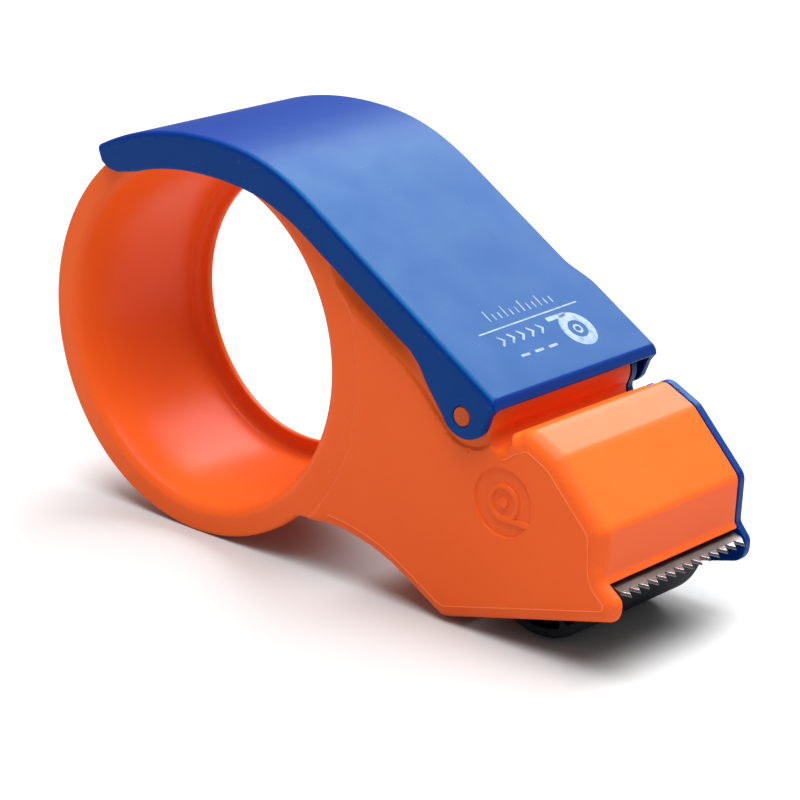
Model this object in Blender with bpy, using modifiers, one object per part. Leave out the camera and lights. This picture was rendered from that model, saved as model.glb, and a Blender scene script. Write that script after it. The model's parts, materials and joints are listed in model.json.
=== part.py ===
"""Hand-held ring-type packing-tape dispenser, modelled at rest with its lid closed.

Design frame, in millimetres: x forward to the nose, y from the drum mouth across to the side
cover, z up, with the drum axis at x = z = 0 and the drum mouth face at y = 0. `place` turns a
design point into the row frame, which has its origin under the middle of the whole object.
"""

import math

import bmesh
import bpy
from mathutils import Matrix, Vector

# Overall placing
MM = 0.001
GAP = 0.3
RUNNING = 0.1
CENTRE_X = 36.1
CENTRE_Y = 25.0
FLOOR_Z = -45.0

# Drum and flange
FLANGE_R = 45.0
FLANGE_T = 2.6
DRUM_R = 37.8
DRUM_END = 38.0
MOUTH_R = 39.2
BORE_R = 35.9
LIP_R = 32.1

# Housing, which is one moulding with the drum
FIELD_Y = -0.4
FIELD_R = 47.1
POCKET_Y = 0.4
PLATE_IN = 2.4
BODY_FAR = 47.0
WALL = 2.4
FRONT_WALL = 3.2
NOSE_TOP = (91.8, 3.1)
NOSE_RIDGE = (100.4, -0.9)
NOSE_FRONT = (113.0, -13.6)
NOSE_LOW_Z = -25.0

# Lid hinge
PIN = (77.4, 2.6)
PIN_R = 2.15
EYE_R = PIN_R + RUNNING
LOBE_R = 6.0
SWING_R = 10.3
SLOT_END = -27.0

# Side cover
COVER_IN = BODY_FAR + GAP
COVER_OUT = 49.8
COVER_REAR_R = 60.6

# Lid
LID_NEAR = -2.8
LID_T = 2.0
LID_TOP_T = 2.2
LID_FAR_REAR = 50.6
LID_FAR_FRONT = 52.8
JOGGLE = (61.0, 69.0)
EAR_STATIONS = 15

# Rollers
PRESS = (93.0, -28.75)
PRESS_R = 15.0
PRESS_Y = (6.6, 44.0)
GUIDE = (70.2, -21.5)
GUIDE_R = 4.6
GUIDE_Y = (5.2, 44.4)
PRESS_AXLE_R = 2.0
GUIDE_AXLE_R = 1.3

# Fixings
POSTS = ((95.8, -7.4), (106.2, -11.6), (71.8, -9.2), (66.0, -35.2))
POST_R = 3.0
SCREW_R = 1.2
HEAD_R = 2.6
BLADE_SCREW_Y = (11.0, 26.0, 41.0)
BLADE_SCREW_Z = -19.2

# Blade
BLADE_T = 0.6
TEETH = 14
TOOTH_PITCH = 3.04
BLADE_Y0 = 4.1

EDGE_LEVELS = (0.0, 0.25, 0.55, 1.0)
CUTTERS = "cutters"
PARTS = "tape_dispenser"


def place(x, y, z):
    """Row-frame point, in metres, of a design point in millimetres."""
    return Vector(((x - CENTRE_X) * MM, (y - CENTRE_Y) * MM, (z - FLOOR_Z) * MM))


def on_circle(centre, radius, degrees):
    angle = math.radians(degrees)
    return centre[0] + radius * math.cos(angle), centre[1] + radius * math.sin(angle)


def arc(centre, radius, start, end, steps):
    """Points on a circle from one angle to another, both ends included."""
    return [on_circle(centre, radius, start + (end - start) * k / steps) for k in range(steps + 1)]


def rounded(corners, step=12.0):
    """Open path through (x, z, radius) corners, each one but the ends turned with an arc."""
    points = [corners[0][:2]]
    for before_point, (x, z, radius), after_point in zip(corners, corners[1:], corners[2:]):
        here = Vector((x, z))
        before = (Vector(before_point[:2]) - here).normalized()
        after = (Vector(after_point[:2]) - here).normalized()
        half = math.acos(max(-1.0, min(1.0, before.dot(after)))) / 2
        middle = here + (before + after).normalized() * radius / math.sin(half)
        first = here + before * radius / math.tan(half) - middle
        last = here + after * radius / math.tan(half) - middle
        start = math.atan2(first.y, first.x)
        sweep = math.atan2(first.x * last.y - first.y * last.x, first.dot(last))
        steps = max(2, round(abs(math.degrees(sweep)) / step))
        for k in range(steps + 1):
            angle = start + sweep * k / steps
            points.append((middle.x + radius * math.cos(angle), middle.y + radius * math.sin(angle)))
    return [*points, corners[-1][:2]]


def bezier(start, handle_1, handle_2, end, steps):
    """Points on a cubic curve, without its last point."""
    points = []
    for k in range(steps):
        t = k / steps
        s = 1 - t
        weights = (s**3, 3 * s * s * t, 3 * s * t * t, t**3)
        ends = (start, handle_1, handle_2, end)
        points.append(tuple(sum(w * p[axis] for w, p in zip(weights, ends)) for axis in (0, 1)))
    return points


def inward_normals(outline):
    """Unit vector into the outline at each of its points, for a counter-clockwise outline."""
    normals = []
    count = len(outline)
    for index in range(count):
        here = Vector(outline[index])
        before = (here - Vector(outline[index - 1])).normalized()
        after = (Vector(outline[(index + 1) % count]) - here).normalized()
        side = Vector((-before.y - after.y, before.x + after.x))
        side = side.normalized() / max(0.35, math.cos(before.angle(after) / 2))
        normals.append(side)
    return normals


def add_object(name, bm, collection):
    mesh = bpy.data.meshes.new(name)
    bmesh.ops.recalc_face_normals(bm, faces=bm.faces)
    bm.to_mesh(mesh)
    bm.free()
    obj = bpy.data.objects.new(name, mesh)
    bpy.data.collections[collection].objects.link(obj)
    if collection == CUTTERS:
        obj.hide_render = True
        obj.display_type = "WIRE"
    return obj


def prism(name, outline, y0, y1):
    """Cutter with this outline between two y values."""
    bm = bmesh.new()
    face = bm.faces.new([bm.verts.new(place(x, y0, z)) for x, z in outline])
    raised = bmesh.ops.extrude_face_region(bm, geom=[face])["geom"]
    moved = [item for item in raised if isinstance(item, bmesh.types.BMVert)]
    bmesh.ops.translate(bm, verts=moved, vec=(0, (y1 - y0) * MM, 0))
    return add_object(name, bm, CUTTERS)


def soft_prism(name, outline, y0, y1, near_radii, far_radii):
    """Plate with this outline between two y values, its near and far edges rounded by one radius
    for each point of the outline. It is a loft, because the rounding changes along the edge."""
    bm = bmesh.new()
    normals = inward_normals(outline)
    rings = []
    for y, radii, away in ((y0, near_radii, 1.0), (y1, far_radii, -1.0)):
        ends = []
        for level in EDGE_LEVELS if any(radii) else EDGE_LEVELS[:1]:
            angle = level * math.pi / 2
            ring = []
            for point, normal, radius in zip(outline, normals, radii):
                inset = radius * (1 - math.sin(angle))
                depth = away * radius * (1 - math.cos(angle))
                x, z = point[0] + normal.x * inset, point[1] + normal.y * inset
                ring.append(bm.verts.new(place(x, y + depth, z)))
            ends.append(ring)
        rings.extend(ends if away > 0 else reversed(ends))
    skin_rings(bm, rings)
    bmesh.ops.remove_doubles(bm, verts=bm.verts, dist=1e-7)
    return add_object(name, bm, CUTTERS)


def skin_rings(bm, rings):
    """Joins rings of vertices into a closed tube, with a face over each end."""
    for lower, upper in zip(rings, rings[1:]):
        for k in range(len(lower)):
            bm.faces.new((lower[k - 1], lower[k], upper[k], upper[k - 1]))
    bm.faces.new(rings[0])
    bm.faces.new(rings[-1])


def lathe(name, profile, centre, segments):
    """Solid turned about the y direction through `centre`, from (radius, y) points. The profile is
    a closed loop, or starts and ends on the axis."""
    bm = bmesh.new()
    points = [bm.verts.new((radius * MM, (y - CENTRE_Y) * MM, 0)) for radius, y in profile]
    for first, second in zip(points, points[1:]):
        bm.edges.new((first, second))
    if profile[0][0] > 0:
        bm.edges.new((points[-1], points[0]))
    obj = add_object(name, bm, CUTTERS)
    screw = obj.modifiers.new("turn", "SCREW")
    screw.axis = "Y"
    screw.steps = screw.render_steps = segments
    screw.use_merge_vertices = True
    screw.merge_threshold = 1e-6
    apply_modifiers(obj)
    obj.data.transform(Matrix.Translation(place(centre[0], CENTRE_Y, centre[1])))
    return obj


def rod(name, centre, radius, y0, y1, segments=28):
    """Cylinder along y between two y values."""
    bm = bmesh.new()
    middle = place(centre[0], (y0 + y1) / 2, centre[1])
    bmesh.ops.create_cone(
        bm, cap_ends=True, segments=segments, radius1=radius * MM, radius2=radius * MM,
        depth=(y1 - y0) * MM, matrix=Matrix.Translation(middle) @ Matrix.Rotation(math.pi / 2, 4, "X"))
    return add_object(name, bm, CUTTERS)


def x_turned(obj, centre_y, centre_z):
    """Turns a shape made along y round to run along x, about a point of the design frame."""
    middle = place(0, centre_y, centre_z)
    for vertex in obj.data.vertices:
        x, y, z = vertex.co
        along, across = y - middle.y, x - middle.x
        vertex.co = (middle.x + along, middle.y - across, z)


def boolean(obj, operation, others):
    """Applies one exact Boolean of `obj` with every one of `others`, in order."""
    for other in others:
        modifier = obj.modifiers.new(other.name, "BOOLEAN")
        modifier.operation = operation
        modifier.solver = "EXACT"
        modifier.object = other
    apply_modifiers(obj)


def apply_modifiers(obj):
    graph = bpy.context.evaluated_depsgraph_get()
    mesh = bpy.data.meshes.new_from_object(obj.evaluated_get(graph))
    obj.modifiers.clear()
    obj.data = mesh
    bm = bmesh.new()
    bm.from_mesh(mesh)
    bmesh.ops.remove_doubles(bm, verts=bm.verts, dist=2e-6)
    bmesh.ops.dissolve_degenerate(bm, edges=bm.edges, dist=1e-6)
    bmesh.ops.recalc_face_normals(bm, faces=bm.faces)
    bm.to_mesh(mesh)
    bm.free()


def finish(obj, material, sharp=35.0):
    """Puts a finished piece in the parts collection with its material and shading."""
    for collection in list(obj.users_collection):
        collection.objects.unlink(obj)
    bpy.data.collections[PARTS].objects.link(obj)
    obj.hide_render = False
    obj.display_type = "TEXTURED"
    obj.data.materials.clear()
    obj.data.materials.append(material)
    obj.data.shade_smooth()
    obj.data.set_sharp_from_angle(angle=math.radians(sharp))
    return obj


def set_origin(obj, x, y, z):
    """Moves the origin of a moving piece onto its joint axis, leaving its shape where it is."""
    point = place(x, y, z)
    for vertex in obj.data.vertices:
        vertex.co -= point
    obj.location = point


def plastic(name, colour, roughness):
    material = bpy.data.materials.new(name)
    material.use_nodes = True
    shader = material.node_tree.nodes["Principled BSDF"]
    shader.inputs["Base Color"].default_value = (*colour, 1)
    shader.inputs["Roughness"].default_value = roughness
    return material


def metal(name, colour, roughness):
    material = plastic(name, colour, roughness)
    material.node_tree.nodes["Principled BSDF"].inputs["Metallic"].default_value = 1.0
    return material


def front_corners(lobe_x):
    """Corners from the rear of the flat bottom round the blade guard and up to the nose top."""
    return [
        (72.0, -44.4, 3.5),
        (lobe_x - 0.1, -32.0, 3.4),
        (lobe_x + 0.1, -27.4, 2.4),
        (112.8, -24.0, 1.8),
        (*NOSE_FRONT, 3.4),
        (*NOSE_RIDGE, 4.0),
        (*NOSE_TOP, 3.4),
        (88.7, 0.2, 2.2),
        (*on_circle(PIN, SWING_R, -12), 0.0),
    ]


def hinge_edge():
    """Points round the swing of the lid's front lip and the lobe that carries the hinge pin."""
    middle = on_circle(PIN, (SWING_R + LOBE_R) / 2, SLOT_END)
    channel = arc(middle, (SWING_R - LOBE_R) / 2, SLOT_END, SLOT_END - 180, 8)
    return arc(PIN, SWING_R, -15, SLOT_END + 4, 2) + channel + arc(PIN, LOBE_R, SLOT_END + 6, 128, 14)


def housing_outline():
    """Outline of the side plate and nose, counter-clockwise from the notch under the drum."""
    notch = on_circle((0, 0), FLANGE_R - 0.4, -47.2)
    bottom = rounded([(*notch, 0.0), (51.0, -33.0, 45.0), *front_corners(117.2)], step=11.0)
    top = [(60.0, 17.2), (50.0, 23.4), (41.0, 28.9)]
    rear = arc((0, 0), FLANGE_R - 1.4, 39, -44, 22)
    return bottom + hinge_edge() + top + rear


def edge_radii(outline):
    """Rounding of the near edge at each point: generous along the nose and the lower edge, slight
    round the hinge and against the drum."""
    radii = []
    for x, z in outline:
        from_pin = math.hypot(x - PIN[0], z - PIN[1])
        if math.hypot(x, z) < FLANGE_R + 0.5:
            radius = 0.25
        elif x > 87.0 and z > NOSE_LOW_Z + 1.5 and from_pin > SWING_R:
            radius = min(3.2, 1.8 + 0.4 * (z - NOSE_LOW_Z - 1.5))
        elif z < NOSE_LOW_Z + 1.5:
            radius = 2.2
        else:
            radius = 0.8
        radii.append(radius)
    return radii


def smoothed(values, rounds):
    for _ in range(rounds):
        count = len(values)
        values = [
            (values[k - 1] + 2 * values[k] + values[(k + 1) % count]) / 4 for k in range(count)
        ]
    return values


def on_nose_face(z):
    """Point at this height on the nose's lower front face."""
    low_x, low_z = NOSE_FRONT[0] - 0.2, -24.0
    return low_x + (NOSE_FRONT[0] - low_x) * (z - low_z) / (NOSE_FRONT[1] - low_z), z


def cavity_outline():
    """What is cut away behind the side plate: the tape chamber, the space round the rollers, and
    everything below the nose's lower edge."""
    inner_x = NOSE_FRONT[0] - 0.1 - FRONT_WALL
    return [
        (20.0, -60.0), (47.0, -60.0), (48.4, -30.2), (64.0, -36.9), (73.2, -41.6), (75.0, -41.2),
        (76.0, -60.0),
        (130.0, -60.0), (130.0, -19.4), on_nose_face(-19.4), on_nose_face(NOSE_LOW_Z),
        (inner_x, NOSE_LOW_Z), (inner_x + 0.1, -14.9), (99.0, -3.2), (91.6, 0.3), (89.6, -1.0),
        *arc(PIN, SWING_R + WALL, -22, SLOT_END - 22, 5),
        *arc(PIN, LOBE_R - 2.1, -72, 114, 14), on_circle(PIN, 9.0, 114), (60.0, 60.0), (20.0, 60.0),
    ]


def pocket_outline():
    """Shallow recess of the side plate along the lid's skirt and round its ear."""
    centre = (77.6, 3.6)
    return (
        [(37.6, 42.0), (37.6, 23.3), (40.8, 20.1), (54.8, 8.5), (67.8, 1.3)]
        + arc(centre, 8.3, 217, 318, 12)
        + [(85.4, 0.2), (92.0, 20.0)]
    )


def field_step_profile():
    """Ring shaved off the side plate beside the flange, which leaves the plate's field proud."""
    return [(40.0, FIELD_Y - 2.0), (FIELD_R, FIELD_Y - 2.0), (FIELD_R, -0.05), (40.0, -0.05)]


def lid_relief_outline():
    """Shallow flat taken off the top of the flange, so that the closed lid clears it."""
    return arc((0, 0), FLANGE_R - 1.0, 60, 120, 24) + arc((0, 0), FLANGE_R + 6.0, 120, 60, 6)


def drum_profile():
    """Section of the flange and drum as (radius, y), with the flared bore and its inner lip."""
    return [
        (MOUTH_R + 0.7, 0.0), (FLANGE_R - 0.9, 0.0), (FLANGE_R - 0.25, 0.25), (FLANGE_R, 0.9),
        (FLANGE_R, FLANGE_T), (41.0, FLANGE_T), (38.6, 4.2), (DRUM_R, 7.0),
        (DRUM_R - 0.1, DRUM_END - 1.4), (DRUM_R - 1.5, DRUM_END), (LIP_R, DRUM_END),
        (LIP_R, DRUM_END - 1.8), (BORE_R - 2.0, DRUM_END - 2.4), (BORE_R - 0.5, DRUM_END - 3.6),
        (BORE_R + 0.1, 26.0), (BORE_R + 0.8, 11.0), (BORE_R + 1.75, 4.4), (MOUTH_R - 0.4, 1.4),
        (MOUTH_R + 0.1, 0.3),
    ]


def make_main_body(material):
    outline = housing_outline()
    sharp = [0.0] * len(outline)
    body = soft_prism(
        "main_body", outline, FIELD_Y, BODY_FAR, smoothed(edge_radii(outline), 3), sharp)
    boolean(body, "DIFFERENCE", [
        prism("cavity_cut", cavity_outline(), PLATE_IN, 60.0),
        prism("pocket_cut", pocket_outline(), -8.0, POCKET_Y),
        lathe("field_step_cut", field_step_profile(), (0, 0), 90),
    ])
    posts = [rod(f"post_{k}", centre, POST_R, 1.5, BODY_FAR - 0.2, 20) for k, centre in enumerate(POSTS)]
    boolean(body, "UNION", [
        lathe("drum_add", drum_profile(), (0, 0), 72),
        *posts,
        rod("pin_add", PIN, PIN_R, -2.7, 1.4, 28),
        rod("press_seat_add", PRESS, 4.2, 1.5, 5.6, 24),
        rod("guide_seat_add", GUIDE, 3.2, 1.5, 4.4, 24),
    ])
    boolean(body, "DIFFERENCE", [
        prism("relief_cut", lid_relief_outline(), -2.0, FLANGE_T + 1.0),
        *[rod(f"pilot_{k}", centre, SCREW_R + GAP, BODY_FAR - 13, 60, 14)
          for k, centre in enumerate(POSTS)],
        rod("press_seat_cut", PRESS, PRESS_AXLE_R + GAP, 1.2, 60, 20),
        rod("guide_seat_cut", GUIDE, GUIDE_AXLE_R + GAP, 1.2, 60, 20),
        *blade_screw_holes("nose"),
    ])
    return finish(body, material)


def blade_screw_holes(name):
    holes = []
    for k, y in enumerate(BLADE_SCREW_Y):
        hole = rod(f"{name}_hole_{k}", (0, BLADE_SCREW_Z), 1.0 + GAP, y + 100, y + 111.9, 14)
        x_turned(hole, y, BLADE_SCREW_Z)
        holes.append(hole)
    return holes


def cover_outline():
    """Outline of the side cover: the front housing again, ending clear of the tape roll."""
    bottom = rounded([(56.4, -36.4, 0.0), *front_corners(115.6)], step=11.0)
    top = [(66.4, 9.4), (60.6, 7.0)]
    rear = arc((0, 0), COVER_REAR_R, 3, -32, 14)
    return bottom + hinge_edge() + top + rear


def make_side_cover(material):
    outline = cover_outline()
    count = len(outline)
    cover = soft_prism("side_cover", outline, COVER_IN, COVER_OUT, [0.0] * count, [0.7] * count)
    boolean(cover, "UNION", [
        rod("far_pin_add", PIN, PIN_R, COVER_OUT - 1.4, LID_FAR_FRONT - 0.1, 28),
        rod("press_boss_add", PRESS, 4.2, 45.0, COVER_OUT - 0.5, 24),
        rod("guide_boss_add", GUIDE, 3.2, 45.4, COVER_OUT - 0.5, 24),
    ])
    boolean(cover, "DIFFERENCE", [
        *[rod(f"clear_{k}", centre, SCREW_R + GAP, 40, 60, 14) for k, centre in enumerate(POSTS)],
        *[rod(f"seat_{k}", centre, HEAD_R + GAP, COVER_OUT - 1.1, 60, 18)
          for k, centre in enumerate(POSTS)],
        rod("press_hole", PRESS, PRESS_AXLE_R + GAP, 40, 48.8, 20),
        rod("guide_hole", GUIDE, GUIDE_AXLE_R + GAP, 40, 48.8, 20),
    ])
    return finish(cover, material)


def lid_top_line():
    """Points of the lid's outer top, from the rear tip along the arch and down the slope. The last
    EAR_STATIONS of them stand above the hinge ear."""
    rear, crest = (-29.4, 38.7), (4.0, 46.8)
    slope, ear, front = (36.0, 37.6), (63.0, 21.4), (85.4, 8.0)
    arch = bezier(rear, (-18.9, 44.4), (-8.0, crest[1]), crest, 9)
    fall = bezier(crest, (17.0, crest[1]), (24.9, 44.2), slope, 8)
    run = [tuple(a + (b - a) * k / 5 for a, b in zip(slope, ear)) for k in range(5)]
    over = [
        tuple(a + (b - a) * k / (EAR_STATIONS - 1) for a, b in zip(ear, front))
        for k in range(EAR_STATIONS)
    ]
    return arch + fall + run + over


def lid_skirt_line(top):
    """Lower end of the skirt below each point of the top line. The skirt keeps one depth along the
    arch and slope, and spreads round the hinge ear at the front."""
    low = []
    for index, (x, z) in enumerate(top[:-EAR_STATIONS]):
        before = Vector(top[max(0, index - 1)])
        after = Vector(top[index + 1])
        run = (after - before).normalized()
        lean = 0.55 * max(0.0, (x - 36.0) / 27.0)
        down = Vector((run.y, -run.x)) + run * lean
        depth = 8.4 - 1.2 * min(1.0, max(0.0, (x - 14.0) / 20.0))
        low.append((x + down.x * depth, z + down.y * depth))
    low[:3] = ((-28.0, 35.3), (-25.9, 34.0), (-23.2, 33.7))
    ear_centre, ear_r = (78.1, 4.3), 6.4
    left = [(63.0, 13.2), (65.6, 10.6), (67.7, 7.2)]
    fan = arc(ear_centre, ear_r, 207, 325, EAR_STATIONS - 6)
    return low + left + fan + [(84.6, 4.0), (86.0, 5.9)]


def lid_far(x):
    """How far across the lid reaches at this point: it steps out over the side cover."""
    t = min(1.0, max(0.0, (x - JOGGLE[0]) / (JOGGLE[1] - JOGGLE[0])))
    return LID_FAR_REAR + (LID_FAR_FRONT - LID_FAR_REAR) * t * t * (3 - 2 * t)


def lid_station(top, low, far):
    """One section through the lid, as (y, depth share) carried from the top line to the skirt end."""
    reach = (Vector(low) - Vector(top)).length
    radius = min(2.4, reach - 0.2)
    top_t = min(LID_TOP_T, reach - 1.0)
    turn = [math.radians(a) for a in (0, 22, 45, 68, 90)]
    near = [(LID_NEAR + radius * (1 - math.cos(a)), radius * (1 - math.sin(a))) for a in turn]
    inner = [(LID_NEAR + LID_T + 0.7 * (1 - math.cos(a)), top_t + 0.7 * (1 - math.sin(a)))
             for a in (turn[0], turn[2], turn[4])]
    middle = (LID_NEAR + far) / 2
    outside = [(LID_NEAR, reach), *near]
    inside = [*reversed(inner), (LID_NEAR + LID_T, reach)]
    across = [(2 * middle - y, depth) for y, depth in reversed(outside)]
    back = [(2 * middle - y, depth) for y, depth in reversed(inside)]
    points = outside + across + back + inside
    direction = (Vector(low) - Vector(top)) / reach
    return [(top[0] + direction.x * d, y, top[1] + direction.y * d) for y, d in points]


def make_top_lid(material):
    top = lid_top_line()
    low = lid_skirt_line(top)
    bm = bmesh.new()
    rings = []
    for high, end in zip(top, low):
        station = lid_station(high, end, lid_far(high[0]))
        rings.append([bm.verts.new(place(*point)) for point in station])
    skin_rings(bm, rings)
    lid = add_object("top_lid", bm, CUTTERS)
    boolean(lid, "DIFFERENCE", [
        rod("near_eye", PIN, EYE_R, -10.0, 0.5, 28),
        rod("far_eye", PIN, EYE_R, 50.6, 60.0, 28),
    ])
    finish(lid, material)
    set_origin(lid, PIN[0], CENTRE_Y, PIN[1])
    return lid


def make_blade(material):
    """Toothed strip: a flange up the inside of the nose, bent forward under its lower edge."""
    back_x = NOSE_FRONT[0] - 0.1 - FRONT_WALL - GAP
    path = [
        (back_x, -16.2), (back_x, -24.9), (back_x + 0.25, -25.4), (back_x + 1.0, -25.6),
        (115.1, -26.8), (116.7, -27.5),
    ]
    columns = []
    for k in range(TEETH + 1):
        columns.append((BLADE_Y0 + k * TOOTH_PITCH, False))
        if k < TEETH:
            columns.append((BLADE_Y0 + (k + 0.5) * TOOTH_PITCH, True))
    bm = bmesh.new()
    skins = []
    for offset in (0.0, BLADE_T):
        grid = []
        for y, tip in columns:
            line = []
            for index, (x, z) in enumerate(path[:-1]):
                here = Vector(path[index])
                before = Vector(path[max(0, index - 1)])
                after = Vector(path[index + 1])
                run = ((here - before).normalized() + (after - here).normalized()).normalized()
                side = Vector((run.y, -run.x)) * offset
                line.append(bm.verts.new(place(x + side.x, y, z + side.y)))
            if tip:
                end = Vector(path[-1])
                run = (end - Vector(path[-2])).normalized()
                side = Vector((run.y, -run.x)) * offset
                line.append(bm.verts.new(place(end.x + side.x, y, end.y + side.y)))
            grid.append(line)
        skins.append(grid)
    rows = len(path) - 1
    for grid in skins:
        for left, right in zip(grid, grid[1:]):
            for row in range(rows - 1):
                bm.faces.new((left[row], right[row], right[row + 1], left[row + 1]))
            points = left if len(left) > rows else right
            bm.faces.new((left[rows - 1], right[rows - 1], points[rows]))
    front, back = skins
    for k in range(len(columns) - 1):
        bm.faces.new((front[k][0], front[k + 1][0], back[k + 1][0], back[k][0]))
        root, tip = (k + 1, k) if columns[k][1] else (k, k + 1)
        bm.faces.new((front[root][rows - 1], front[tip][rows], back[tip][rows], back[root][rows - 1]))
    for k in (0, len(columns) - 1):
        for row in range(rows - 1):
            bm.faces.new((front[k][row], front[k][row + 1], back[k][row + 1], back[k][row]))
    blade = add_object("cutting_blade", bm, CUTTERS)
    boolean(blade, "DIFFERENCE", blade_screw_holes("blade"))
    return finish(blade, material, 25.0)


def make_blade_clamp(material):
    """Flat bar that holds the blade's flange against the inside of the nose."""
    front_x = NOSE_FRONT[0] - 0.1 - FRONT_WALL - 2 * GAP - BLADE_T
    corners = [(front_x - 1.2, -22.0), (front_x, -22.0), (front_x, -16.6), (front_x - 1.2, -16.6)]
    clamp = prism("blade_clamp", corners, BLADE_Y0 + 2.0, BLADE_Y0 + TEETH * TOOTH_PITCH - 2.0)
    boolean(clamp, "DIFFERENCE", blade_screw_holes("clamp"))
    return finish(clamp, material)


def make_blade_screws(material):
    """Small screws that run forward through the clamp and blade into the nose."""
    seat = NOSE_FRONT[0] - 0.1 - FRONT_WALL - 3 * GAP - BLADE_T - 1.2
    for k, y in enumerate(BLADE_SCREW_Y):
        head = [
            (0.0, -0.7), (0.5, -1.35), (1.5, -1.2), (2.1, 0.0), (1.0, 0.0), (1.0, 4.2), (0.0, 4.7),
        ]
        profile = [(radius, y + seat + along) for radius, along in head]
        screw = lathe(f"blade_screw_{k + 1}", profile, (0, BLADE_SCREW_Z), 14)
        x_turned(screw, y, BLADE_SCREW_Z)
        finish(screw, material)


def make_cover_screws(material):
    """Self-tapping screws that hold the side cover to the four posts of the body."""
    seat = COVER_OUT - 1.1 + GAP
    for k, centre in enumerate(POSTS):
        head = [
            (0.0, 0.7), (0.75, 1.5), (1.7, 1.35), (HEAD_R - 0.1, 0.7), (HEAD_R, 0.0),
            (SCREW_R, 0.0), (SCREW_R, -8.6), (0.0, -10.4),
        ]
        profile = [(radius, seat + along) for radius, along in head]
        finish(lathe(f"cover_screw_{k + 1}", profile, centre, 18), material)


def make_press_roller(material):
    """Spoked roller that presses the tape down, hollow between its spokes from both ends."""
    y0, y1 = PRESS_Y
    rim = [
        (PRESS_AXLE_R + RUNNING, y0), (4.6, y0), (PRESS_R - 0.5, y0), (PRESS_R, y0 + 0.5),
        (PRESS_R, y1 - 0.5), (PRESS_R - 0.5, y1), (4.6, y1), (PRESS_AXLE_R + RUNNING, y1),
    ]
    roller = lathe("press_roller", rim, PRESS, 60)
    pockets = []
    for k in range(6):
        for side, (start, end) in enumerate(((y0 - 1, y0 + 15), (y1 - 15, y1 + 1))):
            outer = arc(PRESS, PRESS_R - 2.2, 60 * k + 11, 60 * k + 53, 4)
            inner = arc(PRESS, 5.4, 60 * k + 44, 60 * k + 20, 1)
            pockets.append(prism(f"pocket_{k}_{side}", outer + inner, start, end))
    boolean(roller, "DIFFERENCE", pockets)
    finish(roller, material)
    set_origin(roller, PRESS[0], sum(PRESS_Y) / 2, PRESS[1])
    return roller


def make_guide_roller(material):
    """Ribbed roller that the sticky face of the tape runs over."""
    y0, y1 = GUIDE_Y
    ribs = 6
    pitch = (y1 - y0 - 1.6) / ribs
    profile = [(GUIDE_AXLE_R + RUNNING, y0), (GUIDE_R - 0.5, y0), (GUIDE_R, y0 + 0.4)]
    for k in range(ribs):
        start = y0 + 1.6 + k * pitch
        profile += [
            (GUIDE_R, start), (GUIDE_R - 1.1, start + 0.5), (GUIDE_R - 1.1, start + pitch - 2.1),
            (GUIDE_R, start + pitch - 1.6),
        ]
    profile += [(GUIDE_R, y1 - 0.4), (GUIDE_R - 0.5, y1), (GUIDE_AXLE_R + RUNNING, y1)]
    roller = finish(lathe("guide_roller", profile, GUIDE, 24), material)
    set_origin(roller, GUIDE[0], sum(GUIDE_Y) / 2, GUIDE[1])
    return roller


def make_axle(name, centre, radius, y0, y1, material):
    profile = [
        (0.0, y0), (radius - 0.3, y0), (radius, y0 + 0.3), (radius, y1 - 0.3), (radius - 0.3, y1),
        (0.0, y1),
    ]
    return finish(lathe(name, profile, centre, 24), material)


def make_washer(name, y0, y1, material):
    profile = [
        (PRESS_AXLE_R + GAP, y0), (3.8, y0), (3.8, y1), (PRESS_AXLE_R + GAP, y1),
    ]
    return finish(lathe(name, profile, PRESS, 24), material)


def main():
    for obj in list(bpy.data.objects):
        bpy.data.objects.remove(obj)
    for name in (PARTS, CUTTERS):
        collection = bpy.data.collections.new(name)
        bpy.context.scene.collection.children.link(collection)
    bpy.data.collections[CUTTERS].hide_render = True
    orange = plastic("orange_plastic", (0.83, 0.11, 0.025), 0.35)
    blue = plastic("blue_plastic", (0.02, 0.11, 0.55), 0.35)
    black = plastic("black_plastic", (0.012, 0.012, 0.014), 0.4)
    white = plastic("white_nylon", (0.75, 0.74, 0.70), 0.5)
    blade = metal("blade_steel", (0.55, 0.55, 0.56), 0.3)
    bright = metal("bright_steel", (0.66, 0.66, 0.67), 0.22)
    make_main_body(orange)
    make_side_cover(blue)
    make_top_lid(blue)
    make_blade(blade)
    make_blade_clamp(bright)
    make_blade_screws(bright)
    make_cover_screws(bright)
    make_press_roller(black)
    make_guide_roller(white)
    make_axle("press_axle", PRESS, PRESS_AXLE_R, 1.5, 48.5, bright)
    make_axle("guide_axle", GUIDE, GUIDE_AXLE_R, 1.5, 48.5, bright)
    make_washer("washer_near", 5.9, 6.3, white)
    make_washer("washer_far", 44.3, 44.7, white)


main()
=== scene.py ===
"""Looks of the hand-held ring-type packing-tape dispenser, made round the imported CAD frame.

Shapes are written in the part's design frame, in millimetres: x forward to the nose, y from the
drum mouth across to the side cover, z up, with the drum axis at x = z = 0. A moulded piece is a
distance field, which is negative inside the solid, and `solid` turns the field into a mesh.
"""

import json
import math

import bmesh
import bpy
import numpy as np
import openvdb
from mathutils import Matrix, Vector


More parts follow.
